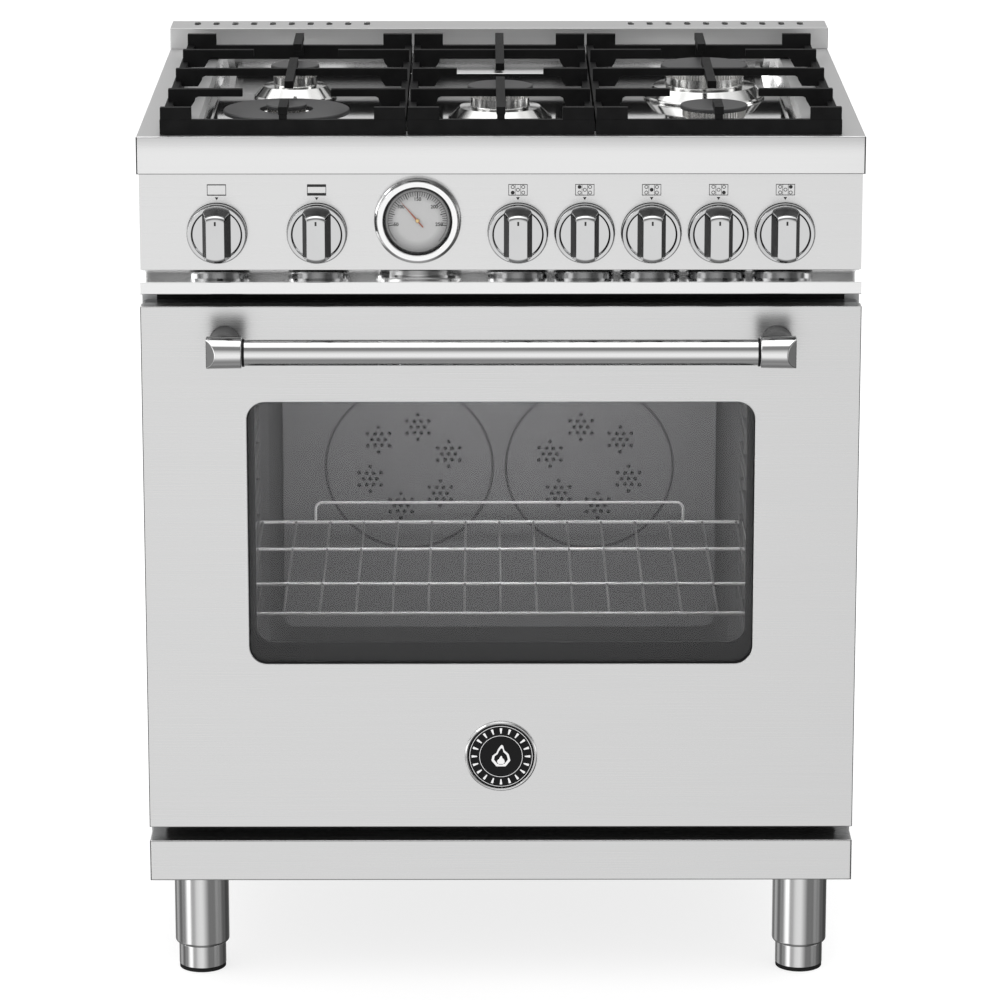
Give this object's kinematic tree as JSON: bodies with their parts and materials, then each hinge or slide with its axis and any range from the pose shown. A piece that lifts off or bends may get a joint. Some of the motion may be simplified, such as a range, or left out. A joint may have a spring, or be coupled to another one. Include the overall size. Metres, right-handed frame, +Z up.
{
  "type": "freestanding gas range",
  "caption": "Freestanding stainless steel gas range with cast-iron grates, recessed knob panel, thermometer, windowed drop-down oven door with bar handle, and round legs.",
  "frame": {"origin": "on the floor, under the middle of the object's box", "axes": "+Z up; +X to the right as seen from the front; +Y to the back, so the door and knobs face -Y"},
  "size_m": [0.759, 0.7108, 0.9604],
  "materials": {
    "brushed_steel": "fine horizontal brushing, satin",
    "galvanised_steel": "plain galvanised sheet",
    "chrome": "polished",
    "needle_paint": "matte paint",
    "cast_iron": "matte black, fine grain",
    "polished_alloy": "polished",
    "cap_enamel": "matte black enamel",
    "oven_enamel": "glossy grey-black enamel",
    "oven_glass": "clear, slightly grey"
  },
  "bodies": {
    "root": {"cooktop": "brushed_steel", "vent_trim": "brushed_steel", "control_panel": "brushed_steel", "front_ledge": "brushed_steel", "kick_panel": "brushed_steel", "leg_tube_front_left": "brushed_steel", "leg_tube_front_right": "brushed_steel", "leg_tube_rear_left": "brushed_steel", "leg_tube_rear_right": "brushed_steel", "side_panel_left": "galvanised_steel", "side_panel_right": "galvanised_steel", "back_panel": "galvanised_steel", "base_frame": "galvanised_steel", "gas_manifold": "galvanised_steel", "hinge_arm_left": "galvanised_steel", "hinge_arm_right": "galvanised_steel", "bake_burner": "galvanised_steel", "broil_burner": "galvanised_steel", "gauge_case": "chrome", "rack_guide_left": "chrome", "rack_guide_right": "chrome", "burner_front_left": "polished_alloy", "cap_front_left": "cap_enamel", "burner_rear_left": "polished_alloy", "cap_rear_left": "cap_enamel", "burner_centre": "polished_alloy", "cap_centre": "cap_enamel", "burner_front_right": "polished_alloy", "cap_front_right": "cap_enamel", "burner_rear_right": "polished_alloy", "cap_rear_right": "cap_enamel", "cap_wok_inner": "cap_enamel", "oven_liner": "oven_enamel", "convection_cover": "oven_enamel"},
    "door": {"door_panel": "brushed_steel", "door_glass": "oven_glass", "door_liner": "oven_enamel", "door_inner_glass": "oven_glass", "handle_bar": "brushed_steel", "handle_post_left": "brushed_steel", "handle_post_right": "brushed_steel", "badge": "chrome"},
    "knob_oven_mode": {"knob_oven_mode": "chrome"},
    "knob_oven_temperature": {"knob_oven_temperature": "chrome"},
    "knob_front_left": {"knob_front_left": "chrome"},
    "knob_rear_left": {"knob_rear_left": "chrome"},
    "knob_centre": {"knob_centre": "chrome"},
    "knob_front_right": {"knob_front_right": "chrome"},
    "knob_rear_right": {"knob_rear_right": "chrome"},
    "gauge_needle": {"gauge_needle": "needle_paint"},
    "fan_left": {"fan_left": "galvanised_steel"},
    "fan_right": {"fan_right": "galvanised_steel"},
    "oven_rack": {"oven_rack": "chrome"},
    "grate_left": {"grate_left": "cast_iron"},
    "grate_centre": {"grate_centre": "cast_iron"},
    "grate_right": {"grate_right": "cast_iron"},
    "foot_front_left": {"foot_front_left": "brushed_steel"},
    "foot_front_right": {"foot_front_right": "brushed_steel"},
    "foot_rear_left": {"foot_rear_left": "brushed_steel"},
    "foot_rear_right": {"foot_rear_right": "brushed_steel"}
  },
  "joints": [
    {"name": "door_hinge", "type": "hinge", "parent": "root", "child": "door", "pos_m": [0, -0.2716, 0.19], "axis": [1, 0, 0], "range_deg": [0, 90], "stiffness_Nm_per_rad": 20, "springref_deg": -14.32},
    {"name": "knob_oven_mode_turn", "type": "hinge", "parent": "root", "child": "knob_oven_mode", "pos_m": [-0.297, -0.2696, 0.8268], "axis": [0, -1, 0], "range_deg": [0, 300]},
    {"name": "knob_oven_temperature_turn", "type": "hinge", "parent": "root", "child": "knob_oven_temperature", "pos_m": [-0.1925, -0.2696, 0.8268], "axis": [0, -1, 0], "range_deg": [0, 270]},
    {"name": "knob_front_left_turn", "type": "hinge", "parent": "root", "child": "knob_front_left", "pos_m": [0.0178, -0.2696, 0.8268], "axis": [0, -1, 0], "range_deg": [0, 210]},
    {"name": "knob_rear_left_turn", "type": "hinge", "parent": "root", "child": "knob_rear_left", "pos_m": [0.0876, -0.2696, 0.8268], "axis": [0, -1, 0], "range_deg": [0, 210]},
    {"name": "knob_centre_turn", "type": "hinge", "parent": "root", "child": "knob_centre", "pos_m": [0.1574, -0.2696, 0.8268], "axis": [0, -1, 0], "range_deg": [0, 210]},
    {"name": "knob_front_right_turn", "type": "hinge", "parent": "root", "child": "knob_front_right", "pos_m": [0.2274, -0.2696, 0.8268], "axis": [0, -1, 0], "range_deg": [0, 210]},
    {"name": "knob_rear_right_turn", "type": "hinge", "parent": "root", "child": "knob_rear_right", "pos_m": [0.2972, -0.2696, 0.8268], "axis": [0, -1, 0], "range_deg": [0, 210]},
    {"name": "gauge_needle_turn", "type": "hinge", "parent": "root", "child": "gauge_needle", "pos_m": [-0.0871, -0.2782, 0.8408], "axis": [0, -1, 0], "range_deg": [-145, 64]},
    {"name": "fan_left_spin", "type": "hinge", "parent": "root", "child": "fan_left", "pos_m": [-0.1045, 0.2294, 0.4553], "axis": [0, -1, 0], "continuous": true},
    {"name": "fan_right_spin", "type": "hinge", "parent": "root", "child": "fan_right", "pos_m": [0.1045, 0.2294, 0.4553], "axis": [0, -1, 0], "continuous": true},
    {"name": "oven_rack_slide", "type": "slide", "parent": "root", "child": "oven_rack", "axis": [0, -1, 0], "range_m": [0, 0.03]},
    {"name": "grate_left_lift", "type": "slide", "parent": "root", "child": "grate_left", "axis": [0, 0, 1], "range_m": [0, 0.08]},
    {"name": "grate_centre_lift", "type": "slide", "parent": "root", "child": "grate_centre", "axis": [0, 0, 1], "range_m": [0, 0.08]},
    {"name": "grate_right_lift", "type": "slide", "parent": "root", "child": "grate_right", "axis": [0, 0, 1], "range_m": [0, 0.08]},
    {"name": "foot_front_left_adjust", "type": "slide", "parent": "root", "child": "foot_front_left", "axis": [0, 0, -1], "range_m": [0, 0.025]},
    {"name": "foot_front_right_adjust", "type": "slide", "parent": "root", "child": "foot_front_right", "axis": [0, 0, -1], "range_m": [0, 0.025]},
    {"name": "foot_rear_left_adjust", "type": "slide", "parent": "root", "child": "foot_rear_left", "axis": [0, 0, -1], "range_m": [0, 0.025]},
    {"name": "foot_rear_right_adjust", "type": "slide", "parent": "root", "child": "foot_rear_right", "axis": [0, 0, -1], "range_m": [0, 0.025]}
  ]
}
